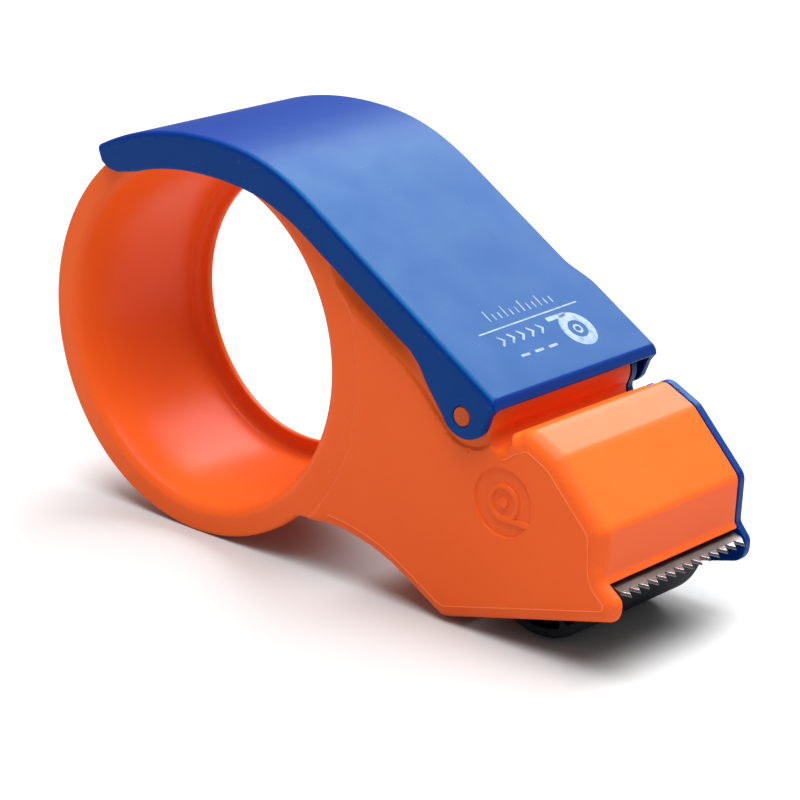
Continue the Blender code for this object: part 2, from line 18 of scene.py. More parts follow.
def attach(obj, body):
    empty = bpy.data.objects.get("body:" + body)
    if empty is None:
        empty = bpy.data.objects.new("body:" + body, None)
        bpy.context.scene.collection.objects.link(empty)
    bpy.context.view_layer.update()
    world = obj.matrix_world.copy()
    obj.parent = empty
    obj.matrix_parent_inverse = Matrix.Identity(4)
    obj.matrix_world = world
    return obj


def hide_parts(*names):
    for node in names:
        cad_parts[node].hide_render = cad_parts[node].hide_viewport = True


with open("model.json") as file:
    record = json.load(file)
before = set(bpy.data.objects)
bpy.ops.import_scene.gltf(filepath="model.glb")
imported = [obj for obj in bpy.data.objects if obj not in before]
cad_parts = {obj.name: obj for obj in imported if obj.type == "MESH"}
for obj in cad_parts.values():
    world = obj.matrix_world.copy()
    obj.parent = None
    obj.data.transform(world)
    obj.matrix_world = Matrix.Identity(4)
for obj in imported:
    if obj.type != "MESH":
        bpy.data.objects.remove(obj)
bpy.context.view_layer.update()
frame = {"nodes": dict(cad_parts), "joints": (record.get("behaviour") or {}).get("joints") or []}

# Drum and flange
FLANGE_R = 45.0
FLANGE_T = 2.6
FLANGE_Y = -0.05
DRUM_R = 37.8
DRUM_END = 38.0
BORE_R = 36.0
BORE_FLARE = 3.2
FLARE_LENGTH = 5.5
MOUTH_ROUND = 1.5
ROOT_FLARE = 3.4
ROOT_LENGTH = 2.2
LIP_R = 32.1
LIP_Y = 36.2

# Housing
FIELD_Y = -0.4
FIELD_R = 47.1
PLATE_IN = 2.4
BODY_FAR = 47.0
WALL = 2.4
FRONT_WALL = 3.2
NOSE_TOP = (91.8, 3.1)
NOSE_RIDGE = (100.4, -0.9)
NOSE_FRONT = (113.0, -13.6)
NOSE_LOW_Z = -25.0
BODY_VOXEL = 0.3

# Rounding of the housing's near edge: everywhere, what the nose and the lower edge add, and over
# which stretch each of the two comes in
EDGE_R = 0.7
NOSE_EDGE_R = 2.6
NOSE_FROM_X = (83.5, 88.5)
NOSE_FROM_PIN = (7.2, 9.4)
NOSE_FROM_Z = (-25.5, -21.0)
LOWER_EDGE_R = 1.8
LOWER_DEPTH = (20.5, 25.5)
LOWER_FROM_AXIS = (46.0, 52.0)

# Lid hinge
PIN = (77.4, 2.6)
PIN_R = 2.15
EYE_R = 2.25
LOBE_R = 6.0
SWING_R = 10.3
SLOT_END = -27.0
MIDDLE_Y = 25.0
PIN_GAP = 0.12
PIN_VOXEL = 0.12

# Side cover
COVER_IN = 47.3
COVER_OUT = 49.8
COVER_REAR_R = 60.6
COVER_BOSS_Y = 45.2
COVER_VOXEL = 0.32

# Lid
LID_NEAR = -2.8
LID_T = 2.0
LID_TOP_T = 2.2
LID_FAR_REAR = 50.6
LID_FAR_FRONT = 52.8
LID_EDGE_R = 1.2
JOGGLE = (61.0, 69.0)
EAR_STATIONS = 15
SLOPE_TOP = (36.0, 37.6)
LID_FRONT = (85.4, 8.0)
SKIRT_DEPTH = 8.4
SKIRT_TAPER = 1.2
SKIRT_LEAN = 0.55
LID_VOXEL = 0.3

# Press roller
PRESS = (93.0, -28.75)
PRESS_R = 15.0
PRESS_Y = (6.6, 44.0)
PRESS_AXLE_R = 2.0
PRESS_SEAT_R = 4.2
PRESS_SEAT_TOP = 5.6
PRESS_HUB_R = 5.0
PRESS_RIM_T = 2.2
PRESS_HOLLOW = 15
PRESS_WEBS = 6
WEB_HALF = 0.9
PRESS_VOXEL = 0.42

# Guide roller
GUIDE = (70.2, -21.5)
GUIDE_R = 4.6
GUIDE_Y = (5.2, 44.4)
GUIDE_AXLE_R = 1.3
GUIDE_SEAT_R = 3.2
GUIDE_SEAT_TOP = 4.4
GUIDE_RIBS = 6
RIB_WIDTH = 1.6
RIB_HEIGHT = 1.1
GUIDE_VOXEL = 0.36

# Cover screws and the posts that they go into
POSTS = ((95.8, -7.4), (106.2, -11.6), (71.8, -9.2), (66.0, -35.2))
POST_R = 3.0
HEAD_R = 2.6
SCREW_SEAT = 1.1
SCREW_HOLE_R = 1.5
SHANK_R = 1.2
CROSS_HALF_WIDTH = 0.3
CROSS_HALF_LENGTH = 1.5
SCREW_VOXEL = 0.17

# Blade
BLADE_T = 0.6
TEETH = 14
TOOTH_PITCH = 3.06
BLADE_Y0 = 4.2
BLADE_TOP_Z = -16.3
BLADE_BEND = ((0.0, -24.6), (0.3, -25.2), (1.0, -25.5))
BLADE_ROOT = (115.1, -27.0)
BLADE_TIP = (116.9, -27.5)

# Grinding of the teeth: its slope, the land left at the edge and how far it reaches behind the
# roots. The scale keeps the sloping face's field close to a true distance.
GRIND_SLOPE = 1.5
GRIND_LAND = 0.1
GRIND_BACK = 2.5
GRIND_SCALE = 0.55
BLADE_VOXEL = 0.15
TOOTH_STEEL = (0.28, 0.27, 0.27)
TOOTH_ROUGHNESS = (0.22, 0.22, 0.22)

# Moulded emblem on the side plate
EMBLEM = (87.4, -14.0)
EMBLEM_R = 7.4
EMBLEM_DEPTH = 0.55
EMBLEM_STEP = 0.15
EMBLEM_ROLL_R = 3.5
EMBLEM_CORE_R = 1.2
EMBLEM_BAND = 0.55

# Steps of the side plate: its border, the pocket round the lid's ear, which runs into a cove along
# the lid's skirt, the crease at the rounded edge and the fine line along it
STEP_WIDTH = 0.3
POCKET_Y = 0.1
POCKET_EDGE = 0.5
COVE_STEP_Y = -0.2
COVE_DEPTH = 1.8
COVE_WIDTH = 4.5
COVE_END = (54.0, 66.0)
CREASE_DEPTH = 0.14
CREASE_WIDTH = 0.45
LINE_INSET = 0.35
LINE_WIDTH = 0.2
LINE_THICK = 0.07
LINE_LIFT = 0.03
LINE_FROM = 1.9
LINE_STEP = 0.6
LINE_ROUNDS = 4

# Print on the lid, in (y, x): a rule, the roll sign, ticks, arrows and dashes
RULE = ((8.6, 71.9), (42.0, 71.4))
SIGN = (35.8, 77.0)
SIGN_R = 3.6
SIGN_CORE_R = 1.0
SIGN_SQUASH = 0.8576
SIGN_TAIL = ((35.8, 73.2), (29.6, 73.2))
TICKS = 12
TICK_START = (15.0, 69.9)
TICK_PITCH = 1.9
LONG_TICK = 2.6
SHORT_TICK = 1.5
ARROWS = 5
ARROW_START = (12.6, 73.4)
ARROW_PITCH = 3.2
ARROW_SIZE = (1.3, 1.1)
DASHES = (16.0, 20.6, 25.2)
DASH_X = 78.7
DASH_HALF = 1.4

# Meshing: FLATNESS is how much a flat area may merge, PROBE is in millimetres, LONG_SIDE in grid
# steps and MOST_BEND in degrees
MM = 0.001
FLATNESS = 0.018
PROBE = 0.03
LONG_SIDE = 1.8
MOST_BEND = 7.0

hinge = next(joint for joint in frame["joints"] if joint["name"] == "lid_hinge")
SHIFT = Vector(hinge["pos_m"]) - Vector((PIN[0], MIDDLE_Y, PIN[1])) * MM


def place(x, y, z):
    """Row-frame point, in metres, of a design point in millimetres."""
    return Vector((x, y, z)) * MM + SHIFT


# Outlines ------------------------------------------------------------------------------------

def on_circle(centre, radius, degrees):
    angle = math.radians(degrees)
    return centre[0] + radius * math.cos(angle), centre[1] + radius * math.sin(angle)


def arc(centre, radius, start, end, steps):
    """Points on a circle from one angle to another, both ends included."""
    return [on_circle(centre, radius, start + (end - start) * k / steps) for k in range(steps + 1)]


def rounded(corners, step=5.0):
    """Open path through (x, z, radius) corners, each one but the ends turned with an arc."""
    points = [corners[0][:2]]
    for before_point, (x, z, radius), after_point in zip(corners, corners[1:], corners[2:]):
        here = Vector((x, z))
        before = (Vector(before_point[:2]) - here).normalized()
        after = (Vector(after_point[:2]) - here).normalized()
        half = math.acos(max(-1.0, min(1.0, before.dot(after)))) / 2
        middle = here + (before + after).normalized() * radius / math.sin(half)
        first = here + before * radius / math.tan(half) - middle
        last = here + after * radius / math.tan(half) - middle
        start = math.atan2(first.y, first.x)
        sweep = math.atan2(first.x * last.y - first.y * last.x, first.dot(last))
        steps = max(3, round(abs(math.degrees(sweep)) / step))
        for k in range(steps + 1):
            points.append(on_circle(middle, radius, math.degrees(start + sweep * k / steps)))
    return [*points, corners[-1][:2]]


def bezier(start, handle_1, handle_2, end, steps):
    """Points on a cubic curve, without its last point."""
    points = []
    for k in range(steps):
        t = k / steps
        s = 1 - t
        weights = (s**3, 3 * s * s * t, 3 * s * t * t, t**3)
        ends = (start, handle_1, handle_2, end)
        points.append(tuple(sum(w * p[axis] for w, p in zip(weights, ends)) for axis in (0, 1)))
    return points


def front_corners(lobe_x):
    """Corners from the rear of the flat bottom round the blade guard and up to the nose top."""
    return [
        (72.0, -44.4, 3.5),
        (lobe_x - 0.1, -32.0, 3.4),
        (lobe_x + 0.1, -27.4, 2.4),
        (112.8, -24.0, 1.8),
        (*NOSE_FRONT, 3.4),
        (*NOSE_RIDGE, 4.0),
        (*NOSE_TOP, 3.4),
        (88.9, 0.2, 3.0),
        (*on_circle(PIN, SWING_R, -12), 0.0),
    ]


def hinge_edge():
    """Points round the swing of the lid's front lip and the lobe that carries the hinge pin."""
    middle = on_circle(PIN, (SWING_R + LOBE_R) / 2, SLOT_END)
    channel = arc(middle, (SWING_R - LOBE_R) / 2, SLOT_END, SLOT_END - 180, 16)
    return arc(PIN, SWING_R, -15, SLOT_END + 4, 3) + channel + arc(PIN, LOBE_R, SLOT_END + 6, 128, 30)


def housing_outline():
    notch = on_circle((0, 0), FLANGE_R - 0.4, -47.2)
    bottom = rounded([(*notch, 0.0), (51.0, -33.0, 45.0), *front_corners(117.2)])
    top = [(60.0, 17.2), (50.0, 23.4), (41.0, 28.9)]
    rear = arc((0, 0), FLANGE_R - 1.4, 39, -44, 22)
    return bottom + hinge_edge() + top + rear


def cover_outline():
    bottom = rounded([(56.4, -36.4, 0.0), *front_corners(115.6)])
    top = [(66.4, 9.4), (60.6, 7.0)]
    rear = arc((0, 0), COVER_REAR_R, 3, -32, 24)
    return bottom + hinge_edge() + top + rear


def cavity_outline():
    """What is open behind the side plate: the tape chamber and the space round the rollers."""
    inner_x = NOSE_FRONT[0] - 0.1 - FRONT_WALL
    return [
        (20.0, -60.0), (47.0, -60.0), (48.4, -30.2), (64.0, -36.9), (73.2, -41.6), (75.0, -41.2),
        (76.0, -60.0), (130.0, -60.0), (130.0, NOSE_LOW_Z), (inner_x, NOSE_LOW_Z),
        (inner_x + 0.1, -14.9), (99.0, -3.2), (91.6, 0.3), (89.6, -1.0),
        *arc(PIN, SWING_R + WALL, -22, SLOT_END - 22, 8),
        *arc(PIN, LOBE_R - 2.1, -72, 114, 20), on_circle(PIN, 9.0, 114), (60.0, 60.0), (20.0, 60.0),
    ]


def pocket_outline():
    """Shallow recess of the side plate along the lid's skirt and round its ear."""
    return (
        [(36.2, 42.0), (36.6, 28.4), (37.9, 24.8), (39.6, 21.4), (43.0, 18.3), (50.7, 13.8),
         (58.6, 9.2), (64.3, 5.0), (68.4, 0.8)]
        + arc((77.6, 3.6), 8.3, 217, 318, 24)
        + [(85.4, 0.2), (92.0, 20.0)]
    )


def lid_top_line():
    """Points of the lid's outer top, from the rear tip along the arch and down the slope. The last
    EAR_STATIONS of them stand above the hinge ear."""
    rear, crest, ear = (-29.4, 38.7), (4.0, 46.8), (63.0, 21.4)
    arch = bezier(rear, (-18.9, 44.4), (-8.0, crest[1]), crest, 27)
    fall = bezier(crest, (17.0, crest[1]), (24.9, 44.2), SLOPE_TOP, 24)
    run = [tuple(a + (b - a) * k / 5 for a, b in zip(SLOPE_TOP, ear)) for k in range(5)]
    over = [
        tuple(a + (b - a) * k / (EAR_STATIONS - 1) for a, b in zip(ear, LID_FRONT))
        for k in range(EAR_STATIONS)
    ]
    return arch + fall + run + over


def lid_skirt_line(top):
    """Lower end of the skirt, from the rear tip to the front lip."""
    low = [(-28.0, 35.3), (-25.9, 34.0), (-23.2, 33.7)]
    for index, (x, z) in enumerate(top[:-EAR_STATIONS]):
        if x < -20.0:
            continue
        run = (Vector(top[index + 1]) - Vector(top[index - 1])).normalized()
        lean = SKIRT_LEAN * max(0.0, (x - 36.0) / 27.0)
        down = Vector((run.y, -run.x)) + run * lean
        depth = SKIRT_DEPTH - SKIRT_TAPER * min(1.0, max(0.0, (x - 14.0) / 20.0))
        low.append((x + down.x * depth, z + down.y * depth))
    ear = arc((78.1, 4.3), 6.4, 207, 325, 24)
    return low + [(63.0, 13.2), (65.6, 10.6), (67.7, 7.2)] + ear + [(84.6, 4.0), (86.0, 5.9)]


def lid_covered(top):
    """Everything below the lid's outer top, far beyond its ends."""
    rear_run = (Vector(top[0]) - Vector(top[1])).normalized() * 12
    front_run = (Vector(top[-1]) - Vector(top[-2])).normalized() * 12
    before = (top[0][0] + rear_run.x, top[0][1] + rear_run.y)
    after = (top[-1][0] + front_run.x, top[-1][1] + front_run.y)
    return [before, *top, after, (after[0], -60.0), (before[0], -60.0)]


def lid_side(top):
    """Side view of the lid down to the skirt's end, open above its top."""
    return [*lid_skirt_line(top), LID_FRONT, (84.3, 11.9), (88.0, 60.0), (-36.0, 60.0), (-30.9, 42.4),
            top[0]]


def eased(path, step, rounds):
    """Path cut into even steps, with its corners eased."""
    points = np.array([tuple(point) for point in path])
    along = np.r_[0, np.cumsum(np.linalg.norm(np.diff(points, axis=0), axis=1))]
    places = np.linspace(0, along[-1], int(along[-1] / step) + 1)
    points = np.stack([np.interp(places, along, points[:, axis]) for axis in (0, 1)], axis=1)
    for _ in range(rounds):
        points[1:-1] = (points[:-2] + 2 * points[1:-1] + points[2:]) / 4
    return points.tolist()


# Distance fields -----------------------------------------------------------------------------

def outline_field(points, x, z):
    """Distance to a closed outline, negative inside it."""
    nearest = np.full(np.broadcast_shapes(np.shape(x), np.shape(z)), 1e9, np.float32)
    inside = np.zeros(nearest.shape, bool)
    for (ax, az), (bx, bz) in zip(points, [*points[1:], points[0]]):
        dx, dz = bx - ax, bz - az
        length = dx * dx + dz * dz
        if length < 1e-8:
            continue
        px, pz = x - ax, z - az
        t = np.clip((px * dx + pz * dz) / length, 0, 1)
        nearest = np.minimum(nearest, (px - t * dx) ** 2 + (pz - t * dz) ** 2)
        if dz:
            inside ^= ((az <= z) != (bz <= z)) & (px < dx * (pz / dz))
    return np.where(inside, -1, 1) * np.sqrt(nearest)


def path_field(points, x, z):
    """Distance to an open path."""
    nearest = 1e9
    for (ax, az), (bx, bz) in zip(points, points[1:]):
        dx, dz = bx - ax, bz - az
        t = np.clip(((x - ax) * dx + (z - az) * dz) / (dx * dx + dz * dz), 0, 1)
        nearest = np.minimum(nearest, (x - ax - t * dx) ** 2 + (z - az - t * dz) ** 2)
    return np.sqrt(nearest)


def round_of(centre, x, z):
    """Distance from an axis that runs along y."""
    return np.hypot(x - centre[0], z - centre[1])


def soft_max(a, b, radius):
    """What two solids share, with the edge between their faces rounded."""
    both = np.hypot(np.maximum(a + radius, 0), np.maximum(b + radius, 0))
    return np.minimum(np.maximum(a, b), -radius) + both


def soft_min(a, b, radius):
    """Two solids joined, with a fillet between their faces."""
    return -soft_max(-a, -b, radius)


def soft_cut(solid_field, cutter, radius):
    """A solid less a cutter, with the edge of the cut rounded."""
    return soft_max(solid_field, -cutter, radius)


def ramp(value, low, high):
    """0 below low, 1 above high, and smooth between them."""
    t = np.clip((value - low) / (high - low), 0, 1)
    return t * t * (3 - 2 * t)


def slab(y, low, high):
    """What lies between two heights across the object."""
    return np.maximum(low - y, y - high)


def solid(name, low, high, voxel, field):
    """Mesh of the surface where the field is zero, inside a box of design millimetres. Its points
    are moved onto the exact surface, and its normals are the field's own."""
    step = voxel * 1
    start = np.array(low) - 2.5 * step
    counts = np.ceil((np.array(high) - start) / step).astype(int) + 3
    x, y, z = (start[k] + step * np.arange(counts[k]) for k in range(3))
    x, y, z = x[:, None, None], y[None, :, None], z[None, None, :]
    values = field(*(axis.astype(np.float32) for axis in (x, y, z)))
    values = np.clip(np.broadcast_to(values, counts), -3 * step, 3 * step).astype(np.float32)
    grid = openvdb.FloatGrid(3 * step)
    grid.copyFromArray(values)
    points, triangles, quads = grid.convertToPolygons(0.0, FLATNESS)
    points = points.astype(np.float64) * step + start
    slope = np.zeros_like(points)
    level = np.zeros(len(points))
    for corner in ((1, 1, 1), (1, -1, -1), (-1, 1, -1), (-1, -1, 1)):
        probe = points + np.array(corner) * PROBE
        value = field(*probe.T).astype(np.float64)
        slope += value[:, None] * np.array(corner) / (4 * PROBE)
        level += value / 4
    steepness = np.maximum(np.linalg.norm(slope, axis=1, keepdims=True), 1e-3)
    normals = slope / steepness
    points -= normals * np.clip(level[:, None] / steepness, -step / 3, step / 3)
    faces = [*triangles.tolist(), *quads.tolist()]
    a, b, c = (points[quads[:, k]] for k in range(3))
    if (np.cross(b - a, c - a) * normals[quads[:, 0]]).sum() < 0:
        faces = [face[::-1] for face in faces]
    mesh = bpy.data.meshes.new(name)
    mesh.from_pydata((points * MM + np.array(SHIFT)).tolist(), [], faces)
    mesh.shade_smooth()
    mesh.normals_split_custom_set(corner_normals(mesh, normals, step).tolist())
    return add_object(name, mesh)


def corner_normals(mesh, normals, step):
    """Normals of the face corners: the field's own, except where a long flat face touches an edge,
    which keeps the flat face's own normal there."""
    flat = np.empty(len(mesh.polygons) * 3)
    sides = np.empty(len(mesh.polygons), int)
    first = np.empty(len(mesh.polygons), int)
    corners = np.empty(len(mesh.loops), int)
    borders = np.empty(len(mesh.loops), int)
    ends = np.empty(len(mesh.edges) * 2, int)
    spots = np.empty(len(mesh.vertices) * 3)
    mesh.polygons.foreach_get("normal", flat)
    mesh.polygons.foreach_get("loop_total", sides)
    mesh.polygons.foreach_get("loop_start", first)
    mesh.loops.foreach_get("vertex_index", corners)
    mesh.loops.foreach_get("edge_index", borders)
    mesh.edges.foreach_get("vertices", ends)
    mesh.vertices.foreach_get("co", spots)
    spots = spots.reshape(-1, 3)
    lengths = np.linalg.norm(spots[ends[0::2]] - spots[ends[1::2]], axis=1)
    longest = np.maximum.reduceat(lengths[borders], first)
    flat = np.repeat(flat.reshape(-1, 3), sides, axis=0)
    long = np.repeat(longest > LONG_SIDE * step * MM, sides)
    own = normals[corners]
    bent = (own * flat).sum(axis=1) < math.cos(math.radians(MOST_BEND))
    return np.where((long & bent)[:, None], flat, own)


def add_object(name, mesh):
    obj = bpy.data.objects.new(name, mesh)
    bpy.context.scene.collection.objects.link(obj)
    return obj


def add_mesh(name, bm):
    """New object from a bmesh, which it uses up."""
    mesh = bpy.data.meshes.new(name)
    bm.to_mesh(mesh)
    bm.free()
    return add_object(name, mesh)


def fit_out(obj, material, body, slot, *replaced):
    """Gives a piece its material, its body and the CAD nodes it stands for."""
    obj.data.materials.clear()
    obj.data.materials.append(material)
    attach(obj, body)
    if replaced:
        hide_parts(*replaced)


# Main body -----------------------------------------------------------------------------------

def emblem_field(x, z):
    """Recess of the moulded emblem: a disc that holds a raised tape roll with its loose end."""
    from_middle = round_of(EMBLEM, x, z)
    roll = np.abs(from_middle - EMBLEM_ROLL_R) - EMBLEM_BAND
    core = from_middle - EMBLEM_CORE_R
    tail_x, tail_z = x - EMBLEM[0], z - (EMBLEM[1] - EMBLEM_ROLL_R)
    tail = np.maximum(np.abs(tail_z) - EMBLEM_BAND, np.maximum(-tail_x, tail_x - EMBLEM_R))
    raised = np.minimum(np.minimum(roll, core), tail)
    return np.maximum(from_middle - EMBLEM_R, -raised)


def near_face(x, z, from_axis, housing, edge):
    """Height of the side plate's near face at each point, with its steps, its cove and the small
    drop where the rounding of its edge begins."""
    field = ramp(from_axis, FIELD_R - STEP_WIDTH, FIELD_R + STEP_WIDTH)
    level = FLANGE_Y + (FIELD_Y - FLANGE_Y) * field
    pocket = outline_field(pocket_outline(), x, z)
    cove = COVE_STEP_Y + COVE_DEPTH * ramp(-pocket, 0.0, COVE_WIDTH)
    floor = cove + (POCKET_Y - cove) * ramp(x, *COVE_END)
    level = level + (floor - level) * ramp(-pocket, -POCKET_EDGE, POCKET_EDGE)
    level = level + EMBLEM_DEPTH * ramp(-emblem_field(x, z), -EMBLEM_STEP, EMBLEM_STEP)
    border = ramp(edge, 1.2, 2.0) * ramp(housing + edge, -CREASE_WIDTH, CREASE_WIDTH)
    return level + CREASE_DEPTH * border


def near_edge_radius(x, z, from_axis):
    """Rounding of the housing's near edge: generous along the nose and the lower edge, slight
    round the hinge and round the flange."""
    from_pin = round_of(PIN, x, z)
    nose = ramp(x, *NOSE_FROM_X) * ramp(from_pin, *NOSE_FROM_PIN) * ramp(z, *NOSE_FROM_Z)
    lower = ramp(-z, *LOWER_DEPTH) * ramp(from_axis, *LOWER_FROM_AXIS)
    return EDGE_R + NOSE_EDGE_R * nose + LOWER_EDGE_R * lower * (1 - nose)


def seats_field(x, z):
    """Round seats that hold the two axles' ends."""
    return np.minimum(round_of(PRESS, x, z) - PRESS_SEAT_R, round_of(GUIDE, x, z) - GUIDE_SEAT_R)


def body_field(x, y, z):
    """The whole moulding: side plate, housing with its posts and seats, drum, flange and bore."""
    from_axis = np.hypot(x, z)
    housing = outline_field(housing_outline(), x, z)
    cavity = outline_field(cavity_outline(), x, z)
    posts = np.minimum.reduce([round_of(centre, x, z) for centre in POSTS]) - POST_R
    cavity = soft_cut(cavity, posts, 0.6)
    room = np.maximum(cavity, PLATE_IN - y)
    seat_top = np.where(x > (PRESS[0] + GUIDE[0]) / 2, PRESS_SEAT_TOP, GUIDE_SEAT_TOP)
    room = soft_cut(room, np.maximum(seats_field(x, z), y - seat_top), 0.4)
    shell = soft_cut(soft_max(housing, y - BODY_FAR, 0.3), room, 0.6)
    root = ROOT_FLARE * np.exp(-np.maximum(y - FLANGE_T, 0) / ROOT_LENGTH)
    tube = soft_max(from_axis - DRUM_R - root, y - DRUM_END, 0.8)
    drum = soft_min(tube, np.maximum(from_axis - FLANGE_R - 1, y - FLANGE_T), 1.0)
    flange_r = FLANGE_R - ramp(z, 36.0, 39.5)
    outside = soft_min(housing, from_axis - flange_r, 1.0)
    edge = near_edge_radius(x, z, from_axis)
    skin = soft_max(outside, near_face(x, z, from_axis, housing, edge) - y, edge)
    body = np.maximum(np.minimum(shell, drum), skin)
    bore = BORE_R + BORE_FLARE * np.exp(-np.maximum(y, 0) / FLARE_LENGTH)
    lip = soft_max(LIP_Y - y, LIP_R - from_axis, 0.6)
    hollow = soft_min(bore - from_axis, lip, 2.4)
    return soft_max(body, hollow, np.where(y < DRUM_END / 2, MOUTH_ROUND, 0.6))


def make_main_body(material):
    low, high = (-FLANGE_R, FIELD_Y, -FLANGE_R), (117.3, BODY_FAR, FLANGE_R)
    body = solid("body_moulding", low, high, BODY_VOXEL, body_field)
    fit_out(body, material, "body", "orange_plastic", "main_body")


def make_edge_line(material):
    """Fine raised line where the rounding of the nose and of the lower edge meets the plate. Its
    lighter orange paints a highlight along it.
    """
    outline = [Vector(point) for point in housing_outline()]
    path = []
    for before, here, after in zip(outline, outline[1:], outline[2:]):
        run = (after - before).normalized()
        radius = float(near_edge_radius(here.x, here.y, here.length)) + LINE_INSET
        inner = here + Vector((-run.y, run.x)) * radius
        depth = float(outline_field(housing_outline(), inner.x, inner.y))
        if radius > LINE_FROM and abs(depth + radius) < 0.1:
            path.append(inner)
    path = eased(path, LINE_STEP, LINE_ROUNDS)

    def on_plate(x, z, height):
        return place(x, FIELD_Y + LINE_LIFT - height, z)

    bm = bmesh.new()
    ribbon(bm, path, LINE_WIDTH, False, on_plate, LINE_THICK)
    bmesh.ops.recalc_face_normals(bm, faces=bm.faces)
    fit_out(add_mesh("edge_line", bm), material, "body", "orange_plastic")


def pin_field(low, high):
    """Field of a hinge stub between two heights."""
    return lambda x, y, z: soft_max(round_of(PIN, x, z) - PIN_R, slab(y, low, high), 0.3)


def make_pins(orange, blue):
    near_field = pin_field(LID_NEAR + PIN_GAP, 1.2)
    far_field = pin_field(COVER_OUT - 1.0, LID_FAR_FRONT - PIN_GAP)
    for name, field, y0, y1, material, slot in (
        # The near stub takes the darker copy of the orange, which is painted shade
        ("hinge_pin_near", near_field, LID_NEAR, 1.3, orange, "orange_plastic"),
        ("hinge_pin_far", far_field, COVER_OUT - 1.1, LID_FAR_FRONT, blue, "blue_plastic"),
    ):
        low, high = (PIN[0] - PIN_R, y0, PIN[1] - PIN_R), (PIN[0] + PIN_R, y1, PIN[1] + PIN_R)
        fit_out(solid(name, low, high, PIN_VOXEL, field), material, "body", slot)


# Lid -----------------------------------------------------------------------------------------

TOP_LINE = lid_top_line()


def lid_field(x, y, z):
    """Curved shell with a skirt on both sides, and an eye in each ear for the hinge stubs."""
    top = outline_field(lid_covered(TOP_LINE), x, z)
    side = outline_field(lid_side(TOP_LINE), x, z)
    far = LID_FAR_REAR + (LID_FAR_FRONT - LID_FAR_REAR) * ramp(x, *JOGGLE)
    outer = soft_max(soft_max(top, LID_NEAR - y, LID_EDGE_R), y - far, LID_EDGE_R)
    inner = soft_max(soft_max(top + LID_TOP_T, LID_NEAR + LID_T - y, 0.7), y - far + LID_T, 0.7)
    lid = soft_max(soft_cut(outer, inner, 0.35), side, 0.45)
    eyes = np.maximum(round_of(PIN, x, z) - EYE_R, -slab(y, 0.5, 50.0))
    return soft_cut(lid, eyes, 0.2)


def make_top_lid(material):
    low, high = (-29.6, LID_NEAR, -2.6), (86.2, LID_FAR_FRONT, 46.9)
    lid = solid("lid_moulding", low, high, LID_VOXEL, lid_field)
    fit_out(lid, material, "lid", "blue_plastic", "top_lid")


# Side cover ----------------------------------------------------------------------------------

def cover_field(x, y, z):
    """Flat plate with a boss inside for each axle and a countersunk seat for each screw."""
    outline = outline_field(cover_outline(), x, z)
    plate = soft_max(soft_max(outline, y - COVER_OUT, 0.8), COVER_IN - y, 0.2)
    bosses = np.maximum(seats_field(x, z), slab(y, COVER_BOSS_Y, COVER_IN + 1))
    plate = soft_min(plate, bosses, 0.4)
    screws = np.minimum.reduce([round_of(centre, x, z) for centre in POSTS])
    seats = np.maximum(screws - HEAD_R - 0.3, COVER_OUT - SCREW_SEAT - y)
    return soft_cut(soft_cut(plate, seats, 0.3), screws - SCREW_HOLE_R, 0.15)


def make_side_cover(material):
    low, high = (55.0, COVER_BOSS_Y, -44.6), (115.8, COVER_OUT, 9.6)
    cover = solid("side_cover_plate", low, high, COVER_VOXEL, cover_field)
    fit_out(cover, material, "body", "blue_plastic", "side_cover")


def screw_field(centre):
    """Field of a pan-head screw with a cross recess."""
    seat = COVER_OUT - SCREW_SEAT + 0.3

    def field(x, y, z):
        radius = round_of(centre, x, z)
        dome = np.hypot(radius, y - seat + 3.2) - 4.55
        head = soft_max(soft_max(radius - HEAD_R, seat - y, 0.15), dome, 0.3)
        shank = soft_max(radius - SHANK_R, slab(y, seat - 8.6, seat + 0.5), 0.4)
        aside, above = np.abs(x - centre[0]), np.abs(z - centre[1])
        across = np.minimum(
            np.maximum(aside - CROSS_HALF_WIDTH, above - CROSS_HALF_LENGTH),
            np.maximum(above - CROSS_HALF_WIDTH, aside - CROSS_HALF_LENGTH))
        return soft_cut(np.minimum(head, shank), np.maximum(across, seat + 0.45 - y), 0.12)

    return field


def make_cover_screws(material):
    for k, centre in enumerate(POSTS):
        low = (centre[0] - HEAD_R, COVER_OUT - 9.4, centre[1] - HEAD_R)
        high = (centre[0] + HEAD_R, COVER_OUT + 0.6, centre[1] + HEAD_R)
        screw = solid(f"cross_screw_{k + 1}", low, high, SCREW_VOXEL, screw_field(centre))
        fit_out(screw, material, "body", "bright_steel", f"cover_screw_{k + 1}")


# Rollers -------------------------------------------------------------------------------------

def press_field(x, y, z):
    """Spoked roller: a rim and a hub joined by six webs, with a wall across the middle."""
    radius = round_of(PRESS, x, z)
    bearing = np.arctan2(z - PRESS[1], x - PRESS[0])
    outer = soft_max(radius - PRESS_R, slab(y, *PRESS_Y), 0.5)
    ring = np.maximum(PRESS_HUB_R - radius, radius - (PRESS_R - PRESS_RIM_T))
    sector = math.tau / PRESS_WEBS
    web = np.abs((bearing + sector / 2) % sector - sector / 2) * radius - WEB_HALF
    room = soft_max(ring, -web, 0.7)
    deep = np.maximum(y - PRESS_Y[0] - PRESS_HOLLOW, PRESS_Y[0] - 1 - y)
    deep = np.minimum(deep, np.maximum(PRESS_Y[1] - PRESS_HOLLOW - y, y - PRESS_Y[1] - 1))
    roller = soft_cut(outer, np.maximum(room, deep), 0.35)
    return soft_cut(roller, radius - PRESS_AXLE_R - 0.1, 0.3)


def make_press_roller(material):
    low = (PRESS[0] - PRESS_R, PRESS_Y[0], PRESS[1] - PRESS_R)
    high = (PRESS[0] + PRESS_R, PRESS_Y[1], PRESS[1] + PRESS_R)
    roller = solid("spoked_roller", low, high, PRESS_VOXEL, press_field)
    fit_out(roller, material, "press_wheel", "black_plastic", "press_roller")


